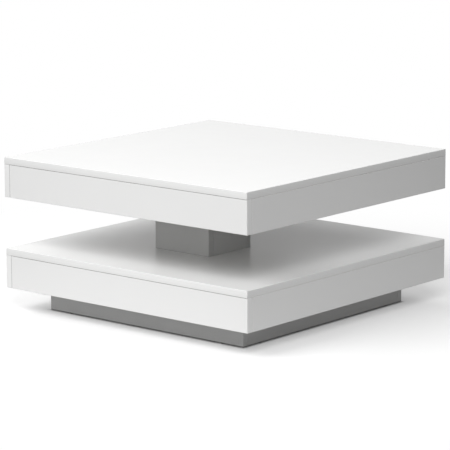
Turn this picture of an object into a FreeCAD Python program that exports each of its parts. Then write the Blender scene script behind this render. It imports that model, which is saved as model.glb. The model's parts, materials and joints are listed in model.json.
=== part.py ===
import FreeCAD, Part
import math
import os

# A square swivel coffee table of coated board. A hollow upper slab turns on a ball bearing over an
# off-centre column, which stands on a hollow lower slab over a set-back plinth.
# Millimetres, +Z up, origin on the floor under the middle of the slabs, -Y is the front.

os.makedirs("parts", exist_ok=True)

V = FreeCAD.Vector
ORIGIN = V(0, 0, 0)
X = V(1, 0, 0)
Y = V(0, 1, 0)
Z = V(0, 0, 1)

# Outside form
table_side = 700.0            # both slabs, square in plan
upper_slab_height = 90.0
lower_slab_height = 90.0
shelf_gap = 116.0             # clear height of the shelf between the slabs
plinth_reveal = 54.0          # floor to the underside of the lower slab
plinth_setback = 69.0         # slab face to plinth face
column_width = 156.0          # along X
column_depth = 144.0          # along Y
swivel_x = -12.0              # the turning axis, at the column's middle
swivel_y = -68.0

# Boards
board = 16.0                  # thickness of every board
edging = 1.0                  # strip glued on each board edge that shows
arris = 0.5                   # eased corner of boards and strips
top_rail_height = 64.0
plinth_rail_height = 100.0
rail_clearance = 14.0         # top rails to the circle that the column's corners sweep
cleat_height = 30.0           # battens inside the column's foot

# Dowels, cam fittings and screws
fit = 0.05                    # radial play of a fastener in its hole
end_play = 1.0                # a hole's depth beyond its dowel, bolt or screw
dowel_radius = 4.0
dowel_in_face = 12.0          # length in the board whose face is drilled
dowel_in_edge = 18.0          # length in the board whose edge is drilled
dowel_drop = 29.0             # first level dowel of an upright joint, below its top
dowel_edge_inset = 16.0       # last level dowel of an upright joint, above its bottom
fixing_inset = 60.0           # first fitting along a board, from its end
apron_fixings = 5             # cams and dowels in turn along an apron
cam_radius = 7.5
cam_depth = 12.0
cam_drop = 34.0               # cam centre below the joint
cam_bolt_radius = 2.6
cam_bolt_head_radius = 3.5
cam_bolt_head_length = 3.0
cam_bolt_neck = 6.0           # thin stretch above the head, which the cam grips
cam_bolt_waist = 1.8          # radius of the neck
cam_channel_play = 0.3        # round the bolt's head
cam_channel_run = 1.5         # channel beyond the bolt's end, inside the cam
cam_bolt_thread_radius = 3.0
cam_bolt_in_panel = 11.0
recess_width = 1.0            # cross recess of screws and cams
recess_depth = 1.2
screw_radius = 1.75
screw_head_radius = 3.5
screw_head_height = 2.0
bracket_leg = 25.0
bracket_wall = 4.0
bracket_screw_place = 15.0    # screw centres from the bracket's corner
screw_in_board = 11.0
foot_screw_in_cleat = 22.0
foot_screw_spread = 40.0      # along Y, between the two screws of a cleat
cleat_screw_spread = 70.0
cleat_screw_rise = 20.0
cleat_screw_in_board = 9.0

# Swivel bearing
bearing_side = 100.0          # square plates
bearing_height = 8.0
plate_thickness = 2.0
race_radius = 38.0            # ball circle
race_half_width = 6.5
land_gap = 2.0                # between the two raceway lands
ball_radius = 2.5
ball_count = 20
race_play = 0.05
cage_thickness = 1.2
cage_overhang = 0.5           # cage ring beyond the lands, each side
pocket_play = 0.1
collar_bore_radius = 22.0
collar_wall = 2.0
lip_width = 3.0               # turned-over rim that keeps the upper plate down
lip_thickness = 1.2
collar_play = 0.4
lip_play = 0.2
plate_hole_inset = 7.0        # screw centres from the plate's edges
machine_screw_radius = 2.4
machine_head_radius = 4.5
machine_head_height = 3.0

# Glides
glide_radius = 7.0
glide_height = 1.5
glide_nail_radius = 1.2
glide_nail_length = 12.0
glide_inset = 60.0            # from the plinth's corners

# Levels and places that follow from the sizes above
half_side = table_side / 2
inner_half = half_side - board
plinth_half = half_side - plinth_setback
plinth_inner = plinth_half - board
lower_slab_bottom = plinth_reveal
lower_panel_underside = lower_slab_bottom + lower_slab_height - board
shelf_top = lower_slab_bottom + lower_slab_height
upper_slab_bottom = shelf_top + shelf_gap
upper_panel_underside = upper_slab_bottom + upper_slab_height - board
bearing_base = upper_panel_underside - bearing_height
head_board_base = bearing_base - board
column_half_width = column_width / 2
column_half_depth = column_depth / 2
column_sweep = math.hypot(column_half_width, column_half_depth)
rail_offset = column_sweep + rail_clearance + board / 2
BOUND_SIDES = ("left", "right", "front", "back", "bottom", "top")
QUARTER_SIDES = ("front", "right", "back", "left")


# Shared shapes

def box(x0, x1, y0, y1, z0, z1):
    """A plain block between two corners."""
    return Part.makeBox(x1 - x0, y1 - y0, z1 - z0, V(x0, y0, z0))


def banded_board(bounds, banded_sides=()):
    """A board that fills bounds, with eased corners, and the strips glued on its banded sides."""
    blank = box(*bounds)
    whole = blank.makeChamfer(arris, blank.Edges)
    core = list(bounds)
    strips = []
    for side in banded_sides:
        index = BOUND_SIDES.index(side)
        inward = edging if index % 2 == 0 else -edging
        glue_face = core[index] + inward
        strip = list(core)
        strip[index ^ 1] = glue_face
        core[index] = glue_face
        strips.append(whole.common(box(*strip)))
    return whole.common(box(*core)), strips


def turned(profile):
    """A solid of revolution about Z from (radius, height) points that start and end on the axis."""
    points = [V(radius, 0, height) for radius, height in profile]
    outline = Part.makePolygon(points + points[:1])
    return Part.Face(outline).revolve(ORIGIN, Z, 360)


def placed(shape, base, direction=Z):
    """A copy of shape with its origin at base and its Z along direction."""
    copy = shape.copy()
    copy.Placement = FreeCAD.Placement(base, FreeCAD.Rotation(Z, direction))
    return copy


def quarter_turned(shape, quarters, centre=ORIGIN):
    """A copy of shape turned by whole quarters about a vertical line."""
    copy = shape.copy()
    copy.rotate(centre, Z, 90 * quarters)
    return copy


def all_quarters(shapes):
    """Four copies of each shape, a quarter turn apart about the table's middle."""
    return [quarter_turned(shape, quarters) for quarters in range(4) for shape in shapes]


def drilled(blank, holes):
    """A board with the holes that reach it cut out."""
    near = [hole for hole in holes if hole.BoundBox.intersect(blank.BoundBox)]
    return blank.cut(near) if near else blank


def spread(first, last, count):
    """Evenly spaced places from first to last."""
    step = (last - first) / (count - 1)
    return [first + step * index for index in range(count)]


def recessed(shape, face_height):
    """A shape with a cross recess in its top face."""
    reach = screw_head_radius * 0.6
    half = recess_width / 2
    floor = face_height - recess_depth
    shape = shape.cut(box(-reach, reach, -half, half, floor, face_height))
    return shape.cut(box(-half, half, -reach, reach, floor, face_height))


# Fasteners: each stands on the plane of its joint, at its own origin

def make_dowel():
    """A dowel with eased ends, its Z into the board whose face is drilled."""
    ease = dowel_radius / 4
    profile = [(0, -dowel_in_edge), (dowel_radius - ease, -dowel_in_edge)]
    profile += [(dowel_radius, ease - dowel_in_edge), (dowel_radius, dowel_in_face - ease)]
    profile += [(dowel_radius - ease, dowel_in_face), (0, dowel_in_face)]
    return turned(profile)


def make_dowel_hole():
    length = dowel_in_edge + dowel_in_face + 2 * end_play
    return Part.makeCylinder(dowel_radius + fit, length, V(0, 0, -dowel_in_edge - end_play))


def make_pan_screw(shank, radius=screw_radius, head_radius=screw_head_radius, head=screw_head_height):
    """A pointed screw with a low domed head above its origin and its shank below."""
    profile = [(0, -shank), (radius, radius - shank), (radius, 0), (head_radius, 0)]
    profile += [(head_radius, head * 0.5), (head_radius * 0.7, head), (0, head)]
    return recessed(turned(profile), head)


def make_flush_screw(plate, shank):
    """A countersunk screw whose head fills the thickness of a plate, flush with its origin."""
    profile = [(0, -plate - shank), (screw_radius, screw_radius - plate - shank), (screw_radius, -plate)]
    profile += [(screw_head_radius, 0), (0, 0)]
    return recessed(turned(profile), 0)


def make_screw_hole(shank, radius=screw_radius):
    return Part.makeCylinder(radius + fit, shank + end_play, V(0, 0, -shank - end_play))


def make_cam():
    """A cam housing let into a board's inner face, with the channel that its bolt's head enters."""
    face = board / 2
    body = Part.makeCylinder(cam_radius, cam_depth, V(0, face, -cam_drop), -Y)
    channel_end = -cam_drop - cam_channel_run
    channel = Part.makeCylinder(cam_bolt_head_radius + cam_channel_play, -channel_end, V(0, 0, channel_end))
    slot_half = recess_width / 2
    slot_reach = cam_radius * 0.6
    slot_floor = face - recess_depth
    level = box(-slot_reach, slot_reach, slot_floor, face, -cam_drop - slot_half, slot_half - cam_drop)
    upright = box(-slot_half, slot_half, slot_floor, face, -cam_drop - slot_reach, slot_reach - cam_drop)
    return body.cut([level, upright, channel])


def make_cam_bolt():
    """A bolt screwed into the panel, whose head hangs at the cam's centre."""
    head_top = cam_bolt_head_length - cam_drop
    neck_top = head_top + cam_bolt_neck
    profile = [(0, -cam_drop), (cam_bolt_head_radius, -cam_drop), (cam_bolt_head_radius, head_top)]
    profile += [(cam_bolt_waist, head_top), (cam_bolt_waist, neck_top), (cam_bolt_radius, neck_top)]
    profile += [(cam_bolt_radius, 0), (cam_bolt_thread_radius, 0)]
    profile += [(cam_bolt_thread_radius, cam_bolt_in_panel), (0, cam_bolt_in_panel)]
    return turned(profile)


def make_cam_holes():
    """The housing's pocket, the bolt's channel in the board and its hole in the panel."""
    pocket = Part.makeCylinder(cam_radius + fit, cam_depth + end_play / 2, V(0, board / 2, -cam_drop), -Y)
    channel = Part.makeCylinder(cam_bolt_head_radius + cam_channel_play, cam_drop, V(0, 0, -cam_drop))
    hole = Part.makeCylinder(cam_bolt_thread_radius + fit, cam_bolt_in_panel + end_play)
    return pocket.fuse([channel, hole])


def make_bracket():
    """A moulded corner bracket: three square flanges, for the corner at its origin."""
    inner = -bracket_wall
    outside = box(-bracket_leg, 0, 0, bracket_leg, -bracket_leg, 0)
    hollow = box(-bracket_leg, inner, bracket_wall, bracket_leg, -bracket_leg, inner)
    return outside.cut([hollow] + bracket_placed(make_screw_hole(bracket_wall + screw_in_board)))


def bracket_placed(screw):
    """Copies of a screw, or of its hole, in the bracket's three flanges."""
    place = bracket_screw_place
    wall = bracket_wall
    into_front = placed(screw, V(-place, wall, -place), Y)
    into_side = placed(screw, V(-wall, place, -place), -X)
    into_panel = placed(screw, V(-place, place, -wall), -Z)
    return [into_front, into_side, into_panel]


DOWEL = make_dowel()
DOWEL_HOLE = make_dowel_hole()
CAM = make_cam()
CAM_BOLT = make_cam_bolt()
CAM_HOLES = make_cam_holes()
BRACKET = make_bracket()
BRACKET_SCREW = make_pan_screw(bracket_wall + screw_in_board)
BRACKET_SCREW_HOLE = make_screw_hole(bracket_wall + screw_in_board)


class Fittings:
    """The fasteners of one assembly, and the holes that they need."""

    def __init__(self):
        self.dowels = []
        self.cams = []
        self.bolts = []
        self.brackets = []
        self.screws = []
        self.holes = []

    def add_dowel(self, joint, into_face):
        self.dowels.append(placed(DOWEL, joint, into_face))
        self.holes.append(placed(DOWEL_HOLE, joint, into_face))

    def add_cam(self, joint, quarters):
        """A cam, its bolt and their holes; the cam's face looks along Y, turned by whole quarters."""
        for kept, shape in ((self.cams, CAM), (self.bolts, CAM_BOLT), (self.holes, CAM_HOLES)):
            kept.append(quarter_turned(placed(shape, joint), quarters, joint))

    def add_bracket(self, corner):
        self.brackets.append(placed(BRACKET, corner))
        self.screws += [moved(screw, corner) for screw in bracket_placed(BRACKET_SCREW)]
        self.holes += [moved(hole, corner) for hole in bracket_placed(BRACKET_SCREW_HOLE)]

    def in_all_quarters(self):
        """The same fittings on all four sides of a square."""
        for name, shapes in vars(self).items():
            setattr(self, name, all_quarters(shapes))


def moved(shape, offset):
    copy = shape.copy()
    copy.translate(offset)
    return copy


def level_dowel_drops(height):
    """How far below its top an upright joint of this height has its two level dowels."""
    return (dowel_drop, height - dowel_edge_inset)


# Slabs: a panel on four aprons that chase each other round the corners

def slab_fittings(underside, apron_height):
    """Cams, dowels and corner brackets of a slab's four aprons."""
    fittings = Fittings()
    middle = board / 2 - half_side
    places = spread(fixing_inset - inner_half, half_side - fixing_inset, apron_fixings)
    for index, place in enumerate(places):
        joint = V(place, middle, underside)
        if index % 2 == 0:
            fittings.add_cam(joint, 0)
        else:
            fittings.add_dowel(joint, Z)
    for drop in level_dowel_drops(apron_height):
        fittings.add_dowel(V(-middle, -inner_half, underside - drop), -Y)
    fittings.add_bracket(V(inner_half, -inner_half, underside))
    fittings.in_all_quarters()
    return fittings


def make_slab(name, bottom, underside, fittings, panel_holes):
    """The panel, the four aprons and their edging."""
    panel_bounds = (-half_side, half_side, -half_side, half_side, underside, underside + board)
    panel, strips = banded_board(panel_bounds, ("front", "back", "left", "right"))
    apron_bounds = (-inner_half, half_side, -half_side, -inner_half, bottom, underside)
    apron, apron_strips = banded_board(apron_bounds, ("bottom", "right"))
    nodes = {name + "_panel": [drilled(panel, fittings.holes + panel_holes)]}
    for quarters, side in enumerate(QUARTER_SIDES):
        nodes[name + "_apron_" + side] = [drilled(quarter_turned(apron, quarters), fittings.holes)]
    nodes[name + "_panel_edging"] = strips
    nodes[name + "_apron_edging"] = all_quarters(apron_strips)
    nodes[name + "_cam_housings"] = fittings.cams
    nodes[name + "_cam_bolts"] = fittings.bolts
    nodes[name + "_dowels"] = fittings.dowels
    nodes[name + "_corner_brackets"] = fittings.brackets
    nodes[name + "_bracket_screws"] = fittings.screws
    return nodes


# Upper slab

def make_top():
    """The turning top: slab, two rails beside the column, and the bearing's upper plate."""
    apron_height = upper_slab_height - board
    fittings = slab_fittings(upper_panel_underside, apron_height)
    rails = {}
    for side, sign in (("left", -1), ("right", 1)):
        middle = swivel_x + sign * rail_offset
        bounds = (middle - board / 2, middle + board / 2, -inner_half, inner_half)
        levels = (upper_panel_underside - top_rail_height, upper_panel_underside)
        rails["top_rail_" + side] = banded_board(bounds + levels)[0]
        for end in (-1, 1):
            fittings.add_cam(V(middle, end * (inner_half - 2 * fixing_inset), upper_panel_underside), sign)
            for drop in level_dowel_drops(top_rail_height):
                fittings.add_dowel(V(middle, end * inner_half, upper_panel_underside - drop), Y * end)
        fittings.add_dowel(V(middle, 0, upper_panel_underside), Z)
    screws, screw_holes = upper_plate_screws()
    nodes = make_slab("top", upper_slab_bottom, upper_panel_underside, fittings, screw_holes)
    for name, rail in rails.items():
        nodes[name] = [drilled(rail, fittings.holes)]
    nodes["swivel_upper_plate"] = [make_upper_plate().cut(screw_holes)]
    nodes["swivel_upper_screws"] = screws
    return nodes


# Swivel bearing: two square steel plates with facing ball grooves and a caged ring of balls

def at_axis(shape, height=0.0):
    """A copy of shape carried to the turning axis."""
    return moved(shape, V(swivel_x, swivel_y, height))


def ring(inner, outer, low, high):
    """A flat ring about Z."""
    disc = Part.makeCylinder(outer, high - low, V(0, 0, low))
    return disc.cut(Part.makeCylinder(inner, high - low, V(0, 0, low)))


def plate_corners():
    """The screw places of a bearing plate, seen from its middle."""
    reach = bearing_side / 2 - plate_hole_inset
    return [V(x, y, 0) for x in (-reach, reach) for y in (-reach, reach)]


def ball_groove():
    """The ring-shaped space that the balls run in."""
    return Part.makeTorus(race_radius, ball_radius + race_play, V(0, 0, bearing_height / 2))


def make_lower_plate():
    """Plate, raceway land, and the central collar whose rim laps over the upper plate."""
    half = bearing_side / 2
    land_top = (bearing_height - land_gap) / 2
    collar_radius = collar_bore_radius + collar_wall
    lip_low = bearing_height - plate_thickness + lip_play
    lip_high = lip_low + lip_thickness
    plate = box(-half, half, -half, half, 0, plate_thickness)
    plate = plate.cut(Part.makeCylinder(collar_bore_radius, plate_thickness))
    land = ring(race_radius - race_half_width, race_radius + race_half_width, plate_thickness, land_top)
    collar = ring(collar_bore_radius, collar_radius, 0, lip_high)
    lip = ring(collar_radius, collar_radius + lip_width, lip_low, lip_high)
    body = plate.fuse([land, collar, lip]).removeSplitter().cut(ball_groove())
    return at_axis(body, bearing_base)


def make_upper_plate():
    """Plate, raceway land, and the inner flange that the collar's rim holds."""
    half = bearing_side / 2
    land_low = (bearing_height + land_gap) / 2
    plate_low = bearing_height - plate_thickness
    collar_radius = collar_bore_radius + collar_wall
    rim_radius = collar_radius + lip_width + collar_play
    plate = box(-half, half, -half, half, plate_low, bearing_height)
    plate = plate.cut(Part.makeCylinder(rim_radius, bearing_height))
    flange = ring(collar_radius + collar_play, race_radius + race_half_width, land_low, plate_low)
    body = plate.fuse(flange).removeSplitter().cut(ball_groove())
    return at_axis(body, bearing_base)


def make_ball_ring():
    """The balls, and the cage that spaces them."""
    middle = bearing_height / 2
    inner = race_radius - race_half_width - cage_overhang
    outer = race_radius + race_half_width + cage_overhang
    cage = ring(inner, outer, middle - cage_thickness / 2, middle + cage_thickness / 2)
    balls = []
    pockets = []
    for index in range(ball_count):
        angle = 2 * math.pi * index / ball_count
        place = V(race_radius * math.cos(angle), race_radius * math.sin(angle), middle)
        balls.append(at_axis(Part.makeSphere(ball_radius, place), bearing_base))
        pockets.append(Part.makeCylinder(ball_radius + pocket_play, middle, V(place.x, place.y, middle / 2)))
    return {"swivel_balls": balls, "swivel_cage": [at_axis(cage.cut(pockets), bearing_base)]}


def upper_plate_screws():
    """Flush screws up through the upper plate into the top panel, and their holes."""
    face = bearing_height - plate_thickness
    screw = make_flush_screw(plate_thickness, screw_in_board)
    cone = Part.makeCone(screw_head_radius + fit, screw_radius + fit, plate_thickness)
    shank = Part.makeCylinder(screw_radius + fit, plate_thickness + screw_in_board + end_play)
    hole = cone.fuse(shank)
    screws = [at_axis(placed(screw, corner + V(0, 0, face), -Z), bearing_base) for corner in plate_corners()]
    holes = [at_axis(moved(hole, corner + V(0, 0, face)), bearing_base) for corner in plate_corners()]
    return screws, holes


def lower_plate_screws():
    """Machine screws from inside the column, up through the head board into the lower plate."""
    shank = board + plate_thickness
    screw = turned_machine_screw(shank)
    hole = Part.makeCylinder(machine_screw_radius + fit, shank)
    screws = [at_axis(placed(screw, corner, -Z), head_board_base) for corner in plate_corners()]
    holes = [at_axis(moved(hole, corner), head_board_base) for corner in plate_corners()]
    return screws, holes


def turned_machine_screw(shank):
    """A flat-ended screw with its head above its origin."""
    profile = [(0, -shank), (machine_screw_radius, -shank), (machine_screw_radius, 0)]
    profile += [(machine_head_radius, 0), (machine_head_radius, machine_head_height / 2)]
    profile += [(machine_head_radius * 0.7, machine_head_height), (0, machine_head_height)]
    return recessed(turned(profile), machine_head_height)


# Column: a tube of four boards and a head board, with two battens inside its foot

def column_fittings():
    """Dowels of the column's corners and of its head board."""
    fittings = Fittings()
    side_middle = column_half_width - board / 2
    front_middle = column_half_depth - board / 2
    butt = column_half_depth - board
    levels = (shelf_top + dowel_drop + dowel_edge_inset, head_board_base - dowel_drop - dowel_edge_inset)
    for sign_x in (-1, 1):
        for sign_y in (-1, 1):
            for level in levels:
                fittings.add_dowel(V(sign_x * side_middle, sign_y * butt, level), Y * sign_y)
            side_place = sign_y * (butt - dowel_in_edge - 2 * dowel_radius)
            fittings.add_dowel(V(sign_x * side_middle, side_place, head_board_base), Z)
            front_place = sign_x * (side_middle - dowel_edge_inset)
            fittings.add_dowel(V(front_place, sign_y * front_middle, head_board_base), Z)
    return fittings


def column_foot():
    """The battens, the screws into the side boards and those up through the lower panel."""
    inner = column_half_width - board
    half_length = column_half_depth - board
    cleats = []
    side_screws = []
    side_holes = []
    foot_screws = []
    foot_holes = []
    side_screw = make_pan_screw(board + cleat_screw_in_board)
    side_hole = make_screw_hole(board + cleat_screw_in_board)
    foot_screw = make_pan_screw(board + foot_screw_in_cleat)
    foot_hole = make_screw_hole(board + foot_screw_in_cleat)
    for sign in (-1, 1):
        ends = sorted((sign * inner, sign * (inner - board)))
        bounds = (ends[0], ends[1], -half_length, half_length, shelf_top, shelf_top + cleat_height)
        cleats.append(banded_board(bounds)[0])
        for end in (-1, 1):
            along = end * cleat_screw_spread / 2
            level_place = V(sign * (inner - board), along, shelf_top + cleat_screw_rise)
            side_screws.append(placed(side_screw, level_place, X * -sign))
            side_holes.append(placed(side_hole, level_place, X * -sign))
            foot_place = V(sign * (inner - board / 2), end * foot_screw_spread / 2, lower_panel_underside)
            foot_screws.append(placed(foot_screw, foot_place, -Z))
            foot_holes.append(placed(foot_hole, foot_place, -Z))
    cleats = [drilled(cleat, side_holes + foot_holes) for cleat in cleats]
    return cleats, side_screws, side_holes, foot_screws, foot_holes


def make_column():
    """The column's nodes, and the holes of its foot screws in the lower panel."""
    half_x = column_half_width
    half_y = column_half_depth
    levels = (shelf_top, head_board_base)
    fittings = column_fittings()
    cleats, side_screws, side_holes, foot_screws, foot_holes = column_foot()
    boards = {}
    edgings = []
    for side, sign in (("front", -1), ("back", 1)):
        ends = tuple(sorted((sign * half_y, sign * (half_y - board))))
        boards[side], strips = banded_board((-half_x, half_x) + ends + levels, ("left", "right"))
        edgings += strips
    for side, sign in (("left", -1), ("right", 1)):
        ends = tuple(sorted((sign * half_x, sign * (half_x - board))))
        boards[side] = banded_board(ends + (board - half_y, half_y - board) + levels)[0]
    nodes = {}
    for side, blank in boards.items():
        nodes["column_board_" + side] = [at_axis(drilled(blank, fittings.holes + side_holes))]
    plate_screws, plate_holes = lower_plate_screws()
    head_board = banded_board((-half_x, half_x, -half_y, half_y, head_board_base, bearing_base))[0]
    head_board = at_axis(drilled(head_board, fittings.holes))
    nodes["column_head_board"] = [drilled(head_board, plate_holes)]
    nodes["column_edging"] = [at_axis(strip) for strip in edgings]
    nodes["column_dowels"] = [at_axis(dowel) for dowel in fittings.dowels]
    nodes["column_foot_cleats"] = [at_axis(cleat) for cleat in cleats]
    nodes["column_cleat_screws"] = [at_axis(screw) for screw in side_screws]
    nodes["column_foot_screws"] = [at_axis(screw) for screw in foot_screws]
    nodes["swivel_lower_plate"] = [make_lower_plate().cut(plate_holes)]
    nodes["swivel_lower_screws"] = plate_screws
    return nodes, [at_axis(hole) for hole in foot_holes]


# Plinth: four boards up to the lower panel, two rails under the column, and glides

def plinth_fittings():
    """Dowels and corner brackets of the plinth and its rails."""
    fittings = Fittings()
    height = lower_panel_underside - glide_height
    middle = plinth_half - board / 2
    fixing = plinth_inner - fixing_inset
    for sign_x in (-1, 1):
        for sign_y in (-1, 1):
            for drop in level_dowel_drops(height):
                joint = V(sign_x * middle, sign_y * plinth_inner, lower_panel_underside - drop)
                fittings.add_dowel(joint, Y * sign_y)
            fittings.add_dowel(V(sign_x * middle, sign_y * fixing, lower_panel_underside), Z)
            fittings.add_dowel(V(sign_x * fixing, sign_y * middle, lower_panel_underside), Z)
            for drop in level_dowel_drops(plinth_rail_height):
                rail_middle = swivel_y + sign_y * (column_half_depth - board / 2)
                joint = V(sign_x * plinth_inner, rail_middle, lower_panel_underside - drop)
                fittings.add_dowel(joint, X * sign_x)
    corners = Fittings()
    corners.add_bracket(V(plinth_inner, -plinth_inner, lower_panel_underside))
    corners.in_all_quarters()
    fittings.brackets = corners.brackets
    fittings.screws = corners.screws
    fittings.holes += corners.holes
    return fittings


def make_glides():
    """Nail-on glides under the plinth boards, and their nails' holes."""
    profile = [(0, 0), (glide_radius - arris, 0), (glide_radius, arris), (glide_radius, glide_height)]
    profile += [(glide_nail_radius, glide_height), (glide_nail_radius, glide_height + glide_nail_length)]
    profile += [(0, glide_height + glide_nail_length + glide_nail_radius)]
    glide = turned(profile)
    depth = glide_nail_length + glide_nail_radius + end_play
    hole = Part.makeCylinder(glide_nail_radius + fit, depth, V(0, 0, glide_height))
    middle = plinth_half - board / 2
    reach = plinth_half - glide_inset
    places = [V(reach, -middle, 0), V(-reach, -middle, 0)]
    glides = [placed(glide, place) for place in places]
    holes = [placed(hole, place) for place in places]
    return all_quarters(glides), all_quarters(holes)


def make_plinth():
    """The plinth's nodes, and the holes of its fasteners in the lower panel."""
    fittings = plinth_fittings()
    glides, glide_holes = make_glides()
    levels = (glide_height, lower_panel_underside)
    holes = fittings.holes + glide_holes
    nodes = {}
    edgings = []
    for side, sign in (("front", -1), ("back", 1)):
        ends = tuple(sorted((sign * plinth_half, sign * plinth_inner)))
        bounds = (-plinth_half, plinth_half) + ends + levels
        blank, strips = banded_board(bounds, ("bottom", "left", "right"))
        nodes["plinth_board_" + side] = [drilled(blank, holes)]
        edgings += strips
        rail_middle = swivel_y + sign * (column_half_depth - board / 2)
        rail_bounds = (-plinth_inner, plinth_inner, rail_middle - board / 2, rail_middle + board / 2)
        rail_levels = (lower_panel_underside - plinth_rail_height, lower_panel_underside)
        nodes["plinth_rail_" + side] = [drilled(banded_board(rail_bounds + rail_levels)[0], holes)]
    for side, sign in (("left", -1), ("right", 1)):
        ends = tuple(sorted((sign * plinth_half, sign * plinth_inner)))
        blank, strips = banded_board(ends + (-plinth_inner, plinth_inner) + levels, ("bottom",))
        nodes["plinth_board_" + side] = [drilled(blank, holes)]
        edgings += strips
    nodes["plinth_edging"] = [drilled(strip, glide_holes) for strip in edgings]
    nodes["plinth_dowels"] = fittings.dowels
    nodes["plinth_corner_brackets"] = fittings.brackets
    nodes["plinth_bracket_screws"] = fittings.screws
    nodes["plinth_glides"] = glides
    return nodes, fittings.holes


def make_base():
    """Everything that stands still: plinth, lower slab, column and the bearing's lower plate."""
    column_nodes, foot_holes = make_column()
    plinth_nodes, plinth_holes = make_plinth()
    fittings = slab_fittings(lower_panel_underside, lower_slab_height - board)
    panel_holes = foot_holes + plinth_holes
    nodes = make_slab("lower", lower_slab_bottom, lower_panel_underside, fittings, panel_holes)
    nodes.update(column_nodes)
    nodes.update(plinth_nodes)
    return nodes


def export(nodes):
    """One STEP file per node; a node of several like pieces keeps them as separate solids."""
    for name, solids in nodes.items():
        shape = solids[0] if len(solids) == 1 else Part.makeCompound(solids)
        shape.exportStep("parts/" + name + ".step")
        print(name, len(solids), "solid" if len(solids) == 1 else "solids")


export(make_top())
export(make_ball_ring())
export(make_base())
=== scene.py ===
# %% [markdown]
# # A swivel coffee table in white and silver board
#
# Two hollow white slabs, one above the other, are joined by a short silver column that stands off
# centre. The upper slab turns on a ball bearing hidden inside it, and the whole table stands on a
# silver plinth that is set back so far that the lower slab seems to float.
#
# The joinery is already made: every board, screw and bearing plate is a node of the packed model and
# stays where it is. This lesson gives the nodes their finishes, rebuilds the edging, the screws and
# other small pieces as finer surfaces, and sets the table in a plain white studio.

# %% Load the table's joinery
import json
import math

import bmesh
import bpy
import numpy as np
from mathutils import Matrix, Vector

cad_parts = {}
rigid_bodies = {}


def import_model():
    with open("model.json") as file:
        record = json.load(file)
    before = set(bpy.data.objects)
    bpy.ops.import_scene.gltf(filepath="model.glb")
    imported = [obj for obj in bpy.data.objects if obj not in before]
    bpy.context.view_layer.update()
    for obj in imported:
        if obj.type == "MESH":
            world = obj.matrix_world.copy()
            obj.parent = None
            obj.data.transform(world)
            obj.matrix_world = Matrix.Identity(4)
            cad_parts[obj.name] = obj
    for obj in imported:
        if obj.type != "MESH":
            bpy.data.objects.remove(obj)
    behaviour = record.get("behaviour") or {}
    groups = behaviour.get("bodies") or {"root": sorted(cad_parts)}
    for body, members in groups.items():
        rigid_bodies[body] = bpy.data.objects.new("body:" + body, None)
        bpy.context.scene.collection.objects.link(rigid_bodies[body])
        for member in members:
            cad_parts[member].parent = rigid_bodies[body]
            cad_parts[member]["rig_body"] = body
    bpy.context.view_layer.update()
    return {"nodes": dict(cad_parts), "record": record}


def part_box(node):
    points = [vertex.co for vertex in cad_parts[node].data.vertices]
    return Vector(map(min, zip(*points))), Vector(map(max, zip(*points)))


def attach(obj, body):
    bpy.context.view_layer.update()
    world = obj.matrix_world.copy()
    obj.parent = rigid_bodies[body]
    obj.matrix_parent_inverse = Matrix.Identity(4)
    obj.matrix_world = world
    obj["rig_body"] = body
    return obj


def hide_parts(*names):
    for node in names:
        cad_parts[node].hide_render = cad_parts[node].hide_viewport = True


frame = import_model()
slot_of = {part["node"]: part["material_slot"] for part in frame["record"]["subparts"]}

# %% [markdown]
# ## The camera
#
# A table is sold by its corner view. The lens is very long and stands far away, so that the slabs'
# sides converge only a little and their upright edges stay upright. A constraint could aim the
# camera, but three angles and a distance say the same in numbers that can be read: which way round
# it stands, how high, and how far its horizon leans.

# %% Place the camera
CAMERA_TURN = math.radians(40.27)  # 0 looks along +Y, straight at the front
CAMERA_RISE = math.radians(11.11)  # above the horizon
CAMERA_LEAN = math.radians(-0.27)
CAMERA_DISTANCE = 5.367  # metres from the target
CAMERA_TARGET = Vector((0.0878, -0.1101, 0.2136))
CAMERA_LENS_MM = 196.3
SENSOR_MM = 36.0
FARTHEST_SEEN = 100.0


def towards(turn, rise):
    """The direction from the table to what stands round it by turn and above it by rise:
    x = sin(turn) cos(rise), y = -cos(turn) cos(rise), z = sin(rise)."""
    return Vector((math.sin(turn) * math.cos(rise), -math.cos(turn) * math.cos(rise), math.sin(rise)))


def new_object(name, data):
    """An object that holds this data, in the scene."""
    thing = bpy.data.objects.new(name, data)
    bpy.context.scene.collection.objects.link(thing)
    return thing


def place_camera():
    """A camera at target + distance x back, with back the direction from the target to it. Its right
    is level and its up stands square to both, before both are turned about back by the lean."""
    back = towards(CAMERA_TURN, CAMERA_RISE)
    level = Vector((math.cos(CAMERA_TURN), math.sin(CAMERA_TURN), 0))
    right = level * math.cos(CAMERA_LEAN) + back.cross(level) * math.sin(CAMERA_LEAN)
    lens = bpy.data.cameras.new("studio_camera")
    lens.lens = CAMERA_LENS_MM
    lens.sensor_width = SENSOR_MM
    lens.clip_end = FARTHEST_SEEN
    camera = new_object("studio_camera", lens)
    turned = Matrix((right, back.cross(right), back)).transposed().to_4x4()
    camera.matrix_world = Matrix.Translation(CAMERA_TARGET + back * CAMERA_DISTANCE) @ turned
    bpy.context.scene.camera = camera
    return camera


camera = place_camera()
print("camera at", [round(value, 3) for value in camera.location])

# %% [markdown]
# ## Helpers for node trees
#
# A material is a small graph of nodes. Written out link by link it is hard to follow, so
# `Graph` adds a node and wires its inputs in one call: an input may be given a number, a colour or
# another node's output.

# %% Helpers for node trees


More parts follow.
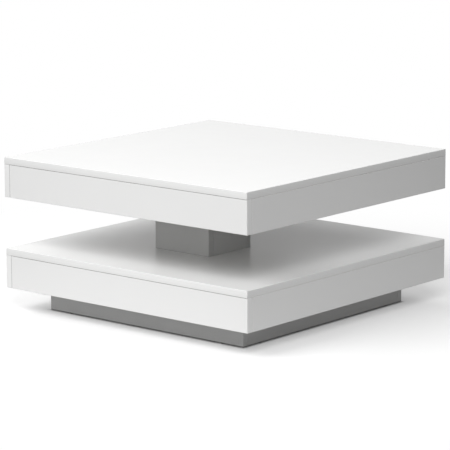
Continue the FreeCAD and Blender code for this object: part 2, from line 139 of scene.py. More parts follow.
class Graph:
    """A node tree with a short way to add nodes."""

    def __init__(self, tree):
        self.tree = tree

    def wire(self, value, socket):
        """A link from an output, or a plain value."""
        if isinstance(value, bpy.types.NodeSocket):
            self.tree.links.new(value, socket)
        else:
            socket.default_value = value

    def add(self, kind, inputs=None, **settings):
        """A node of this kind, with its settings, and its inputs by name or by number."""
        node = self.tree.nodes.new(kind)
        for name, value in settings.items():
            setattr(node, name, value)
        for name, value in (inputs or {}).items():
            self.wire(value, node.inputs[name])
        return node

    def math(self, operation, *values):
        """The result of a math node."""
        return self.add("ShaderNodeMath", dict(enumerate(values)), operation=operation).outputs[0]

    def mix(self, factor, first, second):
        """A mix of two colours."""
        inputs = {0: factor, 6: first, 7: second}
        return self.add("ShaderNodeMix", inputs, data_type="RGBA").outputs[2]

    def blend(self, factor, first, second):
        """A mix of two numbers."""
        return self.add("ShaderNodeMix", {0: factor, 2: first, 3: second}, data_type="FLOAT").outputs[0]

    def remap(self, value, low, high, new_low, new_high):
        """A value stretched smoothly from one range to another, and held at its ends."""
        inputs = {0: value, 1: low, 2: high, 3: new_low, 4: new_high}
        return self.add("ShaderNodeMapRange", inputs, interpolation_type="SMOOTHSTEP").outputs[0]

    def noise(self, place, scale, detail=2.0, roughness=0.5):
        """Cloudy noise between 0 and 1; scale is cells per metre."""
        inputs = {"Vector": place, "Scale": scale, "Detail": detail, "Roughness": roughness}
        return self.add("ShaderNodeTexNoise", inputs).outputs[0]

    def here(self, kind="Object"):
        """At each point its Object place, in metres, or the Normal of its surface."""
        return self.add("ShaderNodeTexCoord").outputs[kind]

    def largest(self, vector, axes):
        """The largest of a vector's parts along these axes, without their signs."""
        parts = self.add("ShaderNodeSeparateXYZ", {0: vector}).outputs
        largest = self.math("ABSOLUTE", parts[axes[0]])
        for axis in axes[1:]:
            largest = self.math("MAXIMUM", largest, self.math("ABSOLUTE", parts[axis]))
        return largest

    def stretched(self, place, factors):
        """A place with its three directions scaled, which draws a pattern out into streaks."""
        inputs = {0: place, 1: factors}
        return self.add("ShaderNodeVectorMath", inputs, operation="MULTIPLY").outputs[0]

    def use(self, tree, **inputs):
        """The outputs of one copy of a node group, with its own values."""
        node = self.add("ShaderNodeGroup", node_tree=tree)
        for name, value in inputs.items():
            self.wire(value, node.inputs[name.replace("_", " ")])
        return node.outputs


BLACK = (0.0, 0.0, 0.0, 1.0)
WHITE = (1.0, 1.0, 1.0, 1.0)


def new_group(name, inputs, outputs):
    """An empty node group with named sockets: inputs map a name to its default value."""
    tree = bpy.data.node_groups.new(name, "ShaderNodeTree")
    for socket_name, value in inputs.items():
        kind = "NodeSocketColor" if isinstance(value, tuple) else "NodeSocketFloat"
        tree.interface.new_socket(socket_name, in_out="INPUT", socket_type=kind).default_value = value
    for socket_name in outputs:
        kind = "NodeSocketColor" if socket_name == "Color" else "NodeSocketFloat"
        tree.interface.new_socket(socket_name, in_out="OUTPUT", socket_type=kind)
    graph = Graph(tree)
    return graph, graph.add("NodeGroupInput").outputs, graph.add("NodeGroupOutput").inputs


def give(graph, result, **values):
    """Sends values to a group's named outputs, and returns the group, which is then complete."""
    for name, value in values.items():
        graph.wire(value, result[name])
    return graph.tree


def emptied(owner):
    """The node graph of a material or a world, with nothing in it yet."""
    owner.use_nodes = True
    owner.node_tree.nodes.clear()
    return Graph(owner.node_tree)


PLAIN_SPECULAR = 0.5


def new_material(name):
    """A material and its empty graph."""
    material = bpy.data.materials.new(name)
    return material, emptied(material)


def show(graph, color, roughness, height, metallic=0.0, specular=PLAIN_SPECULAR):
    """Ends a material in its shader: height, in metres, becomes relief through a Bump node."""
    bump = graph.add("ShaderNodeBump", {"Height": height, "Distance": 1.0, "Strength": 1.0})
    inputs = {"Base Color": color, "Roughness": roughness, "Normal": bump.outputs[0],
              "Metallic": metallic, "Specular IOR Level": specular}
    shader = graph.add("ShaderNodeBsdfPrincipled", inputs)
    graph.add("ShaderNodeOutputMaterial", {"Surface": shader.outputs[0]})


print("node helpers:", [name for name in vars(Graph) if not name.startswith("_")])

# %% [markdown]
# ## Effects that several finishes share
#
# - **Pressed film** is the skin of coated board and of mouldings: its gloss is a little uneven, a
#   faint ripple shows in its reflections, and its colour drifts by a hair. A painted image could do
#   this, but noise measured in cells per metre keeps its scale on a board of any size.
# - **Eased corner** finds the narrow chamfers along a board's edges. A pointiness node would need a
#   dense mesh; a chamfer is the one place whose object-space normal follows no axis.
# - **Chipboard** is what a board is made of, and shows where an edge has no strip on it.
# - **Scuffs** are short fine scratches, for metal.

# %% Build the shared effects
SLOW_SWELL = 6.0  # how much higher a film's slow ripple is than its fine one
CHAMFER_BELOW = 0.8  # the largest part of a normal is below this on a chamfer
FACE_ABOVE = 0.99  # and above this on a face square to an axis
CHIP_RELIEF = 0.00006  # in metres


def make_film_group():
    """Colour, roughness and height of a smooth pressed surface.

    The base is darkened by Drift times a slow noise and by Fleck times a very fine one. Roughness is
    the given one plus Unevenness times a cloudy noise. Height is a fine ripple and a slow one, scaled
    by Ripple, in metres."""
    inputs = {"Base": (0.8, 0.8, 0.8, 1.0), "Drift": 0.02, "Fleck": 0.0, "Roughness": 0.25,
              "Unevenness": 0.05, "Ripple": 0.000001, "Ripple Scale": 400.0}
    graph, given, result = new_group("pressed_film", inputs, ["Color", "Roughness", "Height"])
    place = graph.here()
    slow = graph.noise(place, scale=6.0)
    cloudy = graph.noise(place, scale=22.0, detail=4.0, roughness=0.6)
    fine = graph.noise(place, given["Ripple Scale"], detail=1.0)
    flecks = graph.math("MULTIPLY", graph.noise(place, scale=1500.0, detail=1.0), given["Fleck"])
    shade = graph.math("MULTIPLY_ADD", slow, given["Drift"], flecks)
    dark = graph.mix(shade, given["Base"], BLACK)
    uneven = graph.math("SUBTRACT", cloudy, 0.5)
    rough = graph.math("MULTIPLY_ADD", uneven, given["Unevenness"], given["Roughness"])
    swell = graph.math("MULTIPLY_ADD", slow, SLOW_SWELL, fine)
    height = graph.math("MULTIPLY", swell, given["Ripple"])
    return give(graph, result, Color=dark, Roughness=rough, Height=height)


def make_corner_group():
    """A mask that is 1 on chamfers and 0 on faces that lie square to the object's axes."""
    graph, _, result = new_group("eased_corner", {}, ["Mask"])
    largest = graph.largest(graph.here("Normal"), (0, 1, 2))
    return give(graph, result, Mask=graph.remap(largest, CHAMFER_BELOW, FACE_ABOVE, 1.0, 0.0))


def make_chipboard_group():
    """Pressed wood chips: cells of 2 to 3 mm, each with its own brown, with fine dust between them."""
    inputs = {"Pale": (0.50, 0.36, 0.20, 1.0), "Dark": (0.24, 0.15, 0.08, 1.0)}
    graph, given, result = new_group("chipboard", inputs, ["Color", "Height"])
    place = graph.here()
    chips = graph.add("ShaderNodeTexVoronoi", {"Vector": place, "Scale": 420.0}).outputs
    tone = graph.add("ShaderNodeSeparateColor", {0: chips["Color"]}).outputs[0]
    dust = graph.noise(place, scale=1900.0, detail=3.0)
    mixed = graph.math("MULTIPLY_ADD", graph.math("SUBTRACT", dust, 0.5), 0.6, tone)
    color = graph.mix(mixed, given["Pale"], given["Dark"])
    height = graph.math("MULTIPLY", graph.math("ADD", chips["Distance"], dust), CHIP_RELIEF)
    return give(graph, result, Color=color, Height=height)


def make_scuff_group():
    """A mask of short thin scratches in two directions: 1 where a streaky noise rises over a start
    that Density lowers from 0.8 to 0.6."""
    graph, given, result = new_group("scuffs", {"Density": 0.5}, ["Mask"])
    place = graph.here()
    first = graph.noise(graph.stretched(place, (1.0, 0.08, 0.5)), scale=2400.0, detail=1.0)
    second = graph.noise(graph.stretched(place, (0.08, 1.0, 0.5)), scale=2100.0, detail=1.0)
    lines = graph.math("MAXIMUM", first, second)
    start = graph.math("MULTIPLY_ADD", given["Density"], -0.2, 0.8)
    thin = graph.math("SUBTRACT", lines, start)
    return give(graph, result, Mask=graph.remap(thin, 0.0, 0.06, 0.0, 1.0))


PRESSED_FILM = make_film_group()
EASED_CORNER = make_corner_group()
CHIPBOARD = make_chipboard_group()
SCUFFS = make_scuff_group()
print("shared effects:", [tree.name for tree in bpy.data.node_groups])

# %% [markdown]
# ## Coated board
#
# The boards are chipboard with a film pressed on both faces: high-gloss white on the slabs, satin
# silver grey on the column and the plinth, plain white inside. The film lies only on the faces, so a
# board's finish needs to know across which axis the board is thin. A mask from the normal then leaves
# chipboard on every other side, such as the bare lower edge of a rail or the wall of a hole. Painting
# the edges by hand would work too, but would have to be done again for every board.
#
# A board's eased corners lie in its joints, so they get a share of the joints' painted shade. The joints at
# the front and the back get more of this painted shade than those at the sides, and show as bolder lines.

# %% Board finishes
WHITE_GLOSS = {"Base": (0.87, 0.87, 0.865, 1.0), "Roughness": 0.19, "Ripple": 0.0000012}
SILVER_SATIN = {"Base": (0.71, 0.71, 0.702, 1.0), "Roughness": 0.4, "Drift": 0.05, "Fleck": 0.12,
                "Ripple": 0.000001, "Ripple_Scale": 900.0}
WHITE_INNER = {"Base": (0.82, 0.82, 0.81, 1.0), "Roughness": 0.5, "Ripple": 0.000004,
               "Ripple_Scale": 700.0}
GLOSS_SPECULAR = 0.06
CHIP_ROUGHNESS = 0.85
EDGE_BELOW = 0.45  # a normal's part across the board is below this on bare edges
FILM_ABOVE = 0.6  # and above this on the film
JOINT_SHADE = 0.04  # how much of its colour a surface keeps deep in a joint, as painted shade
PAINTED_SHADE_BY_AXIS = (0.1, 0.55, 0.6)  # how much painted shade the joints get in faces square to x, y and z
INNER_PAINTED_SHADE = (0.2, 0.2, 0.2)  # the same for the boards inside


def dimmed(color, level):
    """A colour at a share of its brightness."""
    return tuple(channel * level for channel in color[:3]) + (1.0,)


def darkened(base, shade_share):
    """A colour with painted joint shade, in this share."""
    return dimmed(base, 1 - shade_share * (1 - JOINT_SHADE))


BOARD_FILMS = {
    "white_board": (WHITE_GLOSS, GLOSS_SPECULAR, PAINTED_SHADE_BY_AXIS),
    "silver_board": (SILVER_SATIN, PLAIN_SPECULAR, PAINTED_SHADE_BY_AXIS),
    "inner_board": (WHITE_INNER, PLAIN_SPECULAR, INNER_PAINTED_SHADE),
}


def board_finish(slot_name, axis):
    """Film on the two faces that are square to the board's thin axis, and chipboard elsewhere. Its
    eased corners lie in joints, and get painted shade by the share given for that axis."""
    film_values, specular, shade_share = BOARD_FILMS[slot_name]
    material, graph = new_material(slot_name + "_thin_in_" + "xyz"[axis])
    film = graph.use(PRESSED_FILM, **film_values)
    chips = graph.use(CHIPBOARD)
    corner = graph.use(EASED_CORNER)["Mask"]
    across = graph.largest(graph.here("Normal"), [axis])
    bare = graph.remap(across, EDGE_BELOW, FILM_ABOVE, 1.0, 0.0)
    # painted shade on the eased corners, standing in for the shadow in the joints
    joint_shaded_corners = graph.mix(corner, film["Color"], darkened(film_values["Base"], shade_share[axis]))
    color = graph.mix(bare, joint_shaded_corners, chips["Color"])
    roughness = graph.blend(bare, film["Roughness"], CHIP_ROUGHNESS)
    height = graph.blend(bare, film["Height"], chips["Height"])
    show(graph, color, roughness, height, specular=specular)
    return material


def thin_axis(node_name):
    """The axis across which a board is thinnest."""
    return int(np.argmin(np.ptp(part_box(node_name), axis=0)))


looks = {(slot_name, thin_axis(name)) for name, slot_name in slot_of.items() if slot_name in BOARD_FILMS}
board_finishes = {look: board_finish(*look) for look in sorted(looks)}
print("board finishes:", len(board_finishes))

# %% [markdown]
# ## Finishes of the small pieces
#
# Edging strips are the same colour as the film but cut from solid plastic, so they have no core to
# show. Zinc cams are cast, and keep the grainy skin of the mould. Screws and plates are zinc plated,
# a little blue, with scuffs where a driver or a neighbour has touched them. Beech dowels show their
# fibres, and each moulding has the fine sandblasted texture of its mould. One flat colour each would
# pass from afar; shared effects with their own values cost little more, and hold from close by.

# %% Finishes of the small pieces
CORNER_SHADE = 0.88  # brightness of a moulding's eased corners
CORNER_WEAR = 0.08  # how much rougher they are
JOINT_ROUGHNESS = 0.7
SCUFF_WEAR = 0.15  # how much rougher scuffs are
SCUFF_COLOR = (0.8, 0.8, 0.8, 1.0)
BEECH_PALE = (0.62, 0.42, 0.23, 1.0)
BEECH_DARK = (0.42, 0.25, 0.12, 1.0)
FIBRE_RELIEF = 0.00003


def moulded_finish(name, base, roughness):
    """The relief of a sandblasted mould, a hundredth of a millimetre deep, and eased corners that are
    a little darker and rougher."""
    material, graph = new_material(name)
    film = graph.use(PRESSED_FILM, Base=base, Roughness=roughness, Unevenness=0.1, Ripple=0.000008,
                     Ripple_Scale=1400.0)
    corner = graph.use(EASED_CORNER)["Mask"]
    color = graph.mix(corner, film["Color"], dimmed(base, CORNER_SHADE))
    rough = graph.math("MULTIPLY_ADD", corner, CORNER_WEAR, film["Roughness"])
    show(graph, color, rough, film["Height"])
    return material


def metal_finish(name, tint, density, **film_values):
    """Metal with a slow change of tint, and scuffs that are brighter and rougher than its skin."""
    material, graph = new_material(name)
    place = graph.here()
    film = graph.use(PRESSED_FILM, **film_values)
    scuffed = graph.use(SCUFFS, Density=density)["Mask"]
    stain = graph.remap(graph.noise(place, scale=45.0, detail=3.0), 0.35, 0.7, 0.0, 1.0)
    tinted = graph.mix(stain, film["Color"], tint)
    bright = graph.mix(scuffed, tinted, SCUFF_COLOR)
    roughness = graph.math("MULTIPLY_ADD", scuffed, SCUFF_WEAR, film["Roughness"])
    show(graph, bright, roughness, film["Height"], metallic=1.0)
    return material


def wood_finish(name):
    """Beech: rings of early and late wood and fine streaks, both drawn out along each dowel's own Z."""
    material, graph = new_material(name)
    place = graph.add("ShaderNodeAttribute", attribute_name="own_place").outputs["Vector"]
    rings = graph.noise(graph.stretched(place, (1.0, 1.0, 0.05)), scale=260.0, detail=3.0)
    fibres = graph.noise(graph.stretched(place, (1.0, 1.0, 0.03)), scale=2600.0)
    streak = graph.math("MULTIPLY_ADD", fibres, 0.5, graph.math("MULTIPLY", rings, 0.6))
    color = graph.mix(graph.remap(streak, 0.35, 0.8, 0.0, 1.0), BEECH_PALE, BEECH_DARK)
    show(graph, color, 0.62, graph.math("MULTIPLY", fibres, FIBRE_RELIEF), specular=0.3)
    return material


def edging_finish(name, film_values, specular):
    """The board's film colour, with painted shade where a strip's round lies in a joint."""
    material, graph = new_material(name)
    film = graph.use(PRESSED_FILM, **film_values)
    depth = graph.add("ShaderNodeAttribute", attribute_name="groove_shade_paint").outputs["Fac"]
    # painted shade in the joint, standing in for the groove's shadow
    color = graph.mix(depth, film["Color"], darkened(film_values["Base"], 1.0))
    roughness = graph.blend(depth, film["Roughness"], JOINT_ROUGHNESS)
    show(graph, color, roughness, film["Height"], specular=specular)
    return material


finishes = {
    "white_edging": edging_finish("white_edging_gloss", WHITE_GLOSS, GLOSS_SPECULAR),
    "silver_edging": edging_finish("silver_edging_satin", SILVER_SATIN, PLAIN_SPECULAR),
    "beech": wood_finish("beech_fibres"),
    "zinc_casting": metal_finish(
        "cast_zinc", tint=(0.33, 0.33, 0.34, 1.0), density=0.3, Base=(0.42, 0.42, 0.43, 1.0),
        Roughness=0.48, Unevenness=0.2, Ripple=0.00001, Ripple_Scale=1200.0),
    "plated_steel": metal_finish(
        "zinc_plate", tint=(0.62, 0.60, 0.54, 1.0), density=0.6, Base=(0.58, 0.59, 0.61, 1.0),
        Roughness=0.3, Unevenness=0.15, Ripple=0.000002, Ripple_Scale=900.0),
    "ball_steel": metal_finish(
        "ground_steel", tint=(0.6, 0.6, 0.62, 1.0), density=0.4, Base=(0.68, 0.68, 0.69, 1.0),
        Roughness=0.1, Unevenness=0.05, Ripple=0.0000003, Ripple_Scale=2000.0),
    "white_plastic": moulded_finish("white_moulding", (0.78, 0.78, 0.75, 1.0), 0.5),
    "cage_plastic": moulded_finish("black_moulding", (0.03, 0.03, 0.032, 1.0), 0.45),
    "glide_plastic": moulded_finish("grey_moulding", (0.09, 0.09, 0.09, 1.0), 0.55),
}
print("small finishes:", sorted(finishes))

# %% [markdown]
# ## From arrays to pieces
#
# Every rebuilt piece is a grid of points worked out with numpy, and this cell turns grids into
# meshes. `join_sheets` puts grids side by side and welds the points that coincide, which closes seams
# and turns the quads at a pole into triangles. `tiled` copies a finished piece to many places at
# once. Blender's primitives and its Screw modifier could do parts of this, but arrays keep a screw's
# formula in one place, and make forty screws as easily as one.

# %% Helpers for grids and meshes
SHARP_ANGLE = math.radians(40)  # faces that meet at more than this show an edge


def grid_quads(rows, columns, closed):
    """Quads between neighbours on a grid; a closed grid also joins its last column to its first."""
    index = np.arange(rows * columns).reshape(rows, columns)
    if closed:
        index = np.concatenate((index, index[:, :1]), axis=1)
    corners = (index[:-1, :-1], index[1:, :-1], index[1:, 1:], index[:-1, 1:])
    return np.stack(corners, axis=-1).reshape(-1, 4)


def join_sheets(*sheets):
    """One skin of several (grid, closed) sheets: its points, its faces' corners and their sizes.

    Points that coincide are merged, a quad loses the corners that a merge has doubled, and what has
    fewer than three corners left is dropped. Columns after x, y and z are carried along."""
    points = np.concatenate([grid.reshape(-1, grid.shape[-1]) for grid, _ in sheets])
    starts = np.cumsum([0] + [grid.shape[0] * grid.shape[1] for grid, _ in sheets])
    quads = [grid_quads(grid.shape[0], grid.shape[1], closed) + start
             for (grid, closed), start in zip(sheets, starts)]
    rounded = np.round(points[:, :3], 8) + 0.0
    _, first, merged = np.unique(rounded, axis=0, return_index=True, return_inverse=True)
    quads = merged.ravel()[np.concatenate(quads)]
    distinct = quads != np.roll(quads, 1, axis=1)
    sizes = distinct.sum(axis=1)
    real = sizes > 2
    return points[first], quads[real][distinct[real]], sizes[real]


def tiled(skin, places, facings, turns):
    """Copies of a skin, as one skin: its Z runs along each facing, after a turn about it, and its
    origin lies at the place."""
    points, corners, sizes = skin
    level = np.roll(facings, 1, axis=1)
    side = level * np.cos(turns)[:, None] + np.cross(facings, level) * np.sin(turns)[:, None]
    basis = np.stack((side, np.cross(facings, side), facings), axis=1)
    placed = np.einsum("pk,nkj->npj", points, basis) + places[:, None]
    offsets = np.arange(len(places))[:, None] * len(points)
    return placed.reshape(-1, 3), (corners + offsets).ravel(), np.tile(sizes, len(places))


def merge_skins(skins):
    """Several skins as one."""
    points, corners, sizes = zip(*skins)
    starts = np.cumsum([0] + [len(part) for part in points])
    corners = [part + start for part, start in zip(corners, starts)]
    return np.concatenate(points), np.concatenate(corners), np.concatenate(sizes)


def mesh_from(name, skin):
    """A mesh from a skin, smooth except where faces meet at more than the sharp angle."""
    points, corners, sizes = skin
    mesh = bpy.data.meshes.new(name)
    mesh.vertices.add(len(points))
    mesh.vertices.foreach_set("co", points[:, :3].astype(np.float32).ravel())
    mesh.loops.add(len(corners))
    mesh.loops.foreach_set("vertex_index", corners.astype(np.int32))
    mesh.polygons.add(len(sizes))
    mesh.polygons.foreach_set("loop_start", (np.cumsum(sizes) - sizes).astype(np.int32))
    mesh.update(calc_edges=True)
    mesh.validate()
    mesh.shade_smooth()
    mesh.set_sharp_from_angle(angle=SHARP_ANGLE)
    return mesh


def stand_in(node_name, mesh):
    """A piece that takes a node's place: same body, same slot, named after the node."""
    piece = new_object("fine_" + node_name, mesh)
    mesh.materials.append(finishes[slot_of[node_name]])
    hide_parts(node_name)
    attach(piece, frame["nodes"][node_name]["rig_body"])
    print(piece.name, len(mesh.polygons), "faces")
    return piece


print("faces of a ring of 8:", len(grid_quads(2, 8, True)))

# %% [markdown]
# ## Reading the joinery
#
# A fine screw must stand exactly where the packed one does. Its place could be typed in again, but
# then a change to the joinery would leave the two apart. It is safer to measure: this cell splits a
# node into its separate solids and finds where each one's head is and which way it faces.

# %% Find the solids of a node
EDGE_SLACK = 1e-5  # metres: points this near to an end belong to it


def solid_points(node_name):
    """The corner points of each separate solid of a node.

    Two triangles belong together where only those two share an edge; where solids touch, four meet.
    Each triangle takes the smallest label of its neighbours, over and over, until nothing changes."""
    mesh = frame["nodes"][node_name].data
    raw = np.empty(len(mesh.vertices) * 3, np.float32)
    corner = np.empty(len(mesh.loops), np.int32)
    mesh.vertices.foreach_get("co", raw)
    mesh.loops.foreach_get("vertex_index", corner)
    rounded = np.round(raw.astype(float).reshape(-1, 3), 6) + 0.0
    points, merged = np.unique(rounded, axis=0, return_inverse=True)
    triangles = merged.ravel()[corner].reshape(-1, 3)
    triangles = triangles[(triangles != np.roll(triangles, 1, axis=1)).all(axis=1)]
    sides = np.sort(triangles[:, [[0, 1], [1, 2], [2, 0]]], axis=2).reshape(-1, 2)
    _, edge_of, meeting = np.unique(sides, axis=0, return_inverse=True, return_counts=True)
    edge_of = edge_of.reshape(-1, 3)
    label = np.arange(len(triangles))
    settled = False
    while not settled:
        lowest = np.full(len(meeting), len(triangles))
        np.minimum.at(lowest, edge_of.ravel(), np.repeat(label, 3))
        lowest[meeting != 2] = len(triangles)
        spread = np.minimum(label, lowest[edge_of].min(axis=1))
        settled = np.array_equal(spread, label)
        label = spread
    return [points[np.unique(triangles[label == value])] for value in np.unique(label)]


def fastener_frames(node_name):
    """The middle of each fastener's head, the way the head faces, and the mean length. A fastener
    lies along its longest side, and its head is the end whose points reach out further in all."""
    found = []
    for points in solid_points(node_name):
        low = points.min(axis=0)
        high = points.max(axis=0)
        middle = (low + high) / 2
        along = int(np.argmax(high - low))
        reach = np.linalg.norm(np.delete(points - middle, along, axis=1), axis=1)
        at_low = reach[points[:, along] < low[along] + EDGE_SLACK].sum()
        at_high = reach[points[:, along] > high[along] - EDGE_SLACK].sum()
        facing = np.zeros(3)
        facing[along] = 1.0 if at_high > at_low else -1.0
        found.append((middle + facing * (high - low) / 2, facing, (high - low)[along]))
    places, facings, lengths = (np.array(values) for values in zip(*found))
    return places, facings, float(lengths.mean())


for node_name in ("top_panel_edging", "top_apron_edging", "plinth_edging", "top_dowels"):
    print("solids in", node_name, len(solid_points(node_name)))

# %% [markdown]
# ## Edging strips
#
# A strip of plastic 1 mm thick is glued along each edge of a board that shows, and its corners are
# then milled round. Where a strip meets the next board, these round corners make a groove that light
# hardly enters, and the dark lines that divide the slabs' sides are this groove with painted shade
# in it. A bevel on a box would round the glued side too. Here a formula gives the rounds, sides that
# run on into a neighbour stay square, and each point is told whether it lies deep in a joint, so that
# the finish can paint shade there.

# %% Build the edging strips
ROUND_STEPS = 6  # facets in a strip's quarter round
JOINT_FROM = 0.1  # how far a round has turned away where the joint's painted shade begins
JOINT_FULL = 0.5  # and where it is full
FOOT_REACH = 0.003  # strips lower than this are at the foot of the table
QUARTER = np.linspace(0, np.pi / 2, ROUND_STEPS + 1)


def across_strip(low, high, rounded, jointed, radius):
    """A strip's surface along one of its directions, from side to side: where its rounds start, and
    factors for its reach outwards, the spread of the other direction and the height. A side that isn't
    round drops straight down. The last factor grows from 0 to 1 as a jointed side's round turns away."""
    turn = np.concatenate((-QUARTER[::-1], QUARTER))
    is_round, is_jointed = np.repeat((rounded, jointed), len(QUARTER), axis=1)
    start = (low + radius * rounded[0], high - radius * rounded[1])
    reach = np.sin(turn) * is_round
    spread = np.where(is_round, np.cos(turn), 1.0)
    at_end = np.abs(turn) > QUARTER[-2]
    height = np.where(is_round | at_end, np.cos(turn), 1.0)
    depth = np.clip((np.abs(reach) - JOINT_FROM) / (JOINT_FULL - JOINT_FROM), 0, 1) * is_jointed
    return np.repeat(start, len(QUARTER)), reach, spread, height, depth


def strip_skin(low, high, rounded, jointed, thickness):
    """A strip over a rectangle. Where its surface has turned by a along the strip and by b across it,
    with R the thickness, x = x0 + R sin(a) cos(b), y = y0 + R sin(b) and z = R cos(a) cos(b). The glue
    face, at height 0, is the same grid pressed flat."""
    along, across = (across_strip(*ends, thickness) for ends in zip(low, high, rounded, jointed))
    x_start, x_reach, _, x_height, x_depth = along
    y_start, y_reach, y_spread, y_height, y_depth = across
    x = x_start[:, None] + thickness * np.outer(x_reach, y_spread)
    y = y_start[None, :] + thickness * y_reach[None, :] + 0 * x
    z = thickness * np.outer(x_height, y_height)
    depth = np.maximum(x_depth[:, None], y_depth[None, :])
    outer = np.stack((x, y, z, depth), axis=-1)
    glued = np.stack((x, y, 0 * z, depth), axis=-1)
    return join_sheets((outer, False), (glued[:, ::-1], False))


def meets_board(low, high, axis, place):
    """Whether a board begins or ends at this place on the axis, beside the box from low to high."""
    shared = np.minimum(high, board_boxes[:, 1]) - np.maximum(low, board_boxes[:, 0])
    beside = np.delete(shared, axis, axis=1).min(axis=1) > EDGE_SLACK
    starts = np.abs(board_boxes[:, :, axis] - place).min(axis=1) < EDGE_SLACK
    return bool((beside & starts).any())


def strip_from(points):
    """A fine strip in the place of a packed one. Its packed outer face is smaller than its glue face
    on the sides where the strip has a corner of its own, and those sides become round. At the foot of
    the plinth, where the strips meet the floor, their rounds get the joints' painted shade in full."""
    low = points.min(axis=0)
    high = points.max(axis=0)
    thin = int(np.argmin(high - low))
    across = [(thin + 1) % 3, (thin + 2) % 3]
    at_low = points[points[:, thin] < low[thin] + EDGE_SLACK]
    at_high = points[points[:, thin] > high[thin] - EDGE_SLACK]
    outward = np.ptp(at_high, axis=0).sum() < np.ptp(at_low, axis=0).sum()
    outer = at_high if outward else at_low
    inset = np.stack((outer.min(axis=0) - low, high - outer.max(axis=0)), axis=1) > EDGE_SLACK
    rounded = inset[across]
    at_foot = high[2] < FOOT_REACH
    jointed = at_foot | np.array([[meets_board(low, high, axis, end[axis]) for end in (low, high)]
                                  for axis in across])
    thickness = (high - low)[thin]
    flat, corners, sizes = strip_skin(low[across], high[across], rounded, jointed, thickness)
    placed = flat.copy()
    placed[:, across] = flat[:, :2]
    placed[:, thin] = low[thin] + flat[:, 2] if outward else high[thin] - flat[:, 2]
    # painted shade: deep in a joint a strip is darkened by its face's share, and in full at the plinth's
    # foot
    placed[:, 3] = flat[:, 3] * (1.0 if at_foot else PAINTED_SHADE_BY_AXIS[thin])
    if not outward:  # the strip is a mirror image, so each face's corners are put in reverse order
        ends = np.cumsum(sizes)
        order = np.repeat(2 * ends - sizes, sizes) - 1 - np.arange(len(corners))
        corners = corners[order]
    return placed, corners, sizes


board_boxes = np.array([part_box(name) for name, slot_name in slot_of.items() if slot_name in BOARD_FILMS])
STRIP_NODES = ("top_panel_edging", "top_apron_edging", "lower_panel_edging", "lower_apron_edging",
               "column_edging", "plinth_edging")
for node_name in STRIP_NODES:
    strips = merge_skins([strip_from(points) for points in solid_points(node_name)])
    mesh = mesh_from(node_name, strips)
    groove_shade_paint = mesh.attributes.new("groove_shade_paint", "FLOAT", "POINT")
    groove_shade_paint.data.foreach_set("value", strips[0][:, 3].astype(np.float32))
    stand_in(node_name, mesh)

# %% [markdown]
# ## Screws
#
# The pan-head screws that hold the corner brackets have a domed head with a drive cross, and a coarse
# thread that runs out in a point. Heads are often cut with a Boolean, which leaves long thin faces;
# here the head's top is a square grid bent into a circle, so its lines run straight through the
# cross in the middle and end in a clean round rim. Below the head, the radius of each row of points
# swings between root and crest once round the shank, as a thread does.

# %% Build the screws
# Sizes of the head's cross, in shares of the head's radius.
ARM_HALF = 0.18
ARM_REACH = 0.6
ARM_SLOPE = 0.07
# Half the grid's lines: both ends of the arms' slopes, one line beyond the arms, and the rim.
HALF_LINES = np.array([ARM_HALF - ARM_SLOPE, ARM_HALF, ARM_REACH - ARM_SLOPE, ARM_REACH, 0.82, 1])
CROSS_LINES = np.concatenate((-HALF_LINES[::-1], HALF_LINES))
# The angles at which the head's grid meets its round rim.
SIDE_ANGLES = np.arctan2(CROSS_LINES[:-1] * math.sqrt(0.5), np.sqrt(1 - CROSS_LINES[:-1] ** 2 / 2))
RIM_ANGLES = np.concatenate([SIDE_ANGLES + side * np.pi / 2 for side in range(4)])
CROSS_DEPTH = 0.55  # share of the head's height
THREAD_ROOT = 0.7  # share of the crest's radius
ROWS_PER_PITCH = 4
PAN_HEAD = ((0.86, 0.2), (0.95, 0.33), (1, 0.6), (1, 0.95), (0.97, 1))
FLUSH_HEAD = ((0.98, 0), (1, 0.05))
random = np.random.default_rng(7)  # seeded, so every run turns out alike


def head_top(radius, fall, cross_depth):
    """The top of a round head, from its middle at height 0 to a rim that lies lower by fall.

    x = R u sqrt(1 - v²/2) and y = R v sqrt(1 - u²/2) bend the square into a circle. The height is
    -fall (x² + y²) / R², less the cross, which is deepest in the middle of the head."""
    u, v = np.meshgrid(CROSS_LINES, CROSS_LINES, indexing="ij")
    x = radius * u * np.sqrt(1 - v ** 2 / 2)
    y = radius * v * np.sqrt(1 - u ** 2 / 2)
    arm = np.clip((ARM_HALF - np.abs((u, v))) / ARM_SLOPE, 0, 1)
    reach = np.clip((ARM_REACH - np.abs((v, u))) / ARM_SLOPE, 0, 1)
    cross = (arm * reach).max(axis=0) * (1 - 0.5 * np.hypot(u, v))
    z = -fall * (x ** 2 + y ** 2) / radius ** 2 - cross_depth * cross
    return np.stack((x, y, z), axis=-1)


def turned_sheet(radius, height, angle):
    """Circles about Z, from the top down: x = r cos(angle), y = r sin(angle), z = height."""
    radius, height, angle = np.broadcast_arrays(radius, height, angle)
    return np.stack((radius * np.cos(angle), radius * np.sin(angle), height), axis=-1)


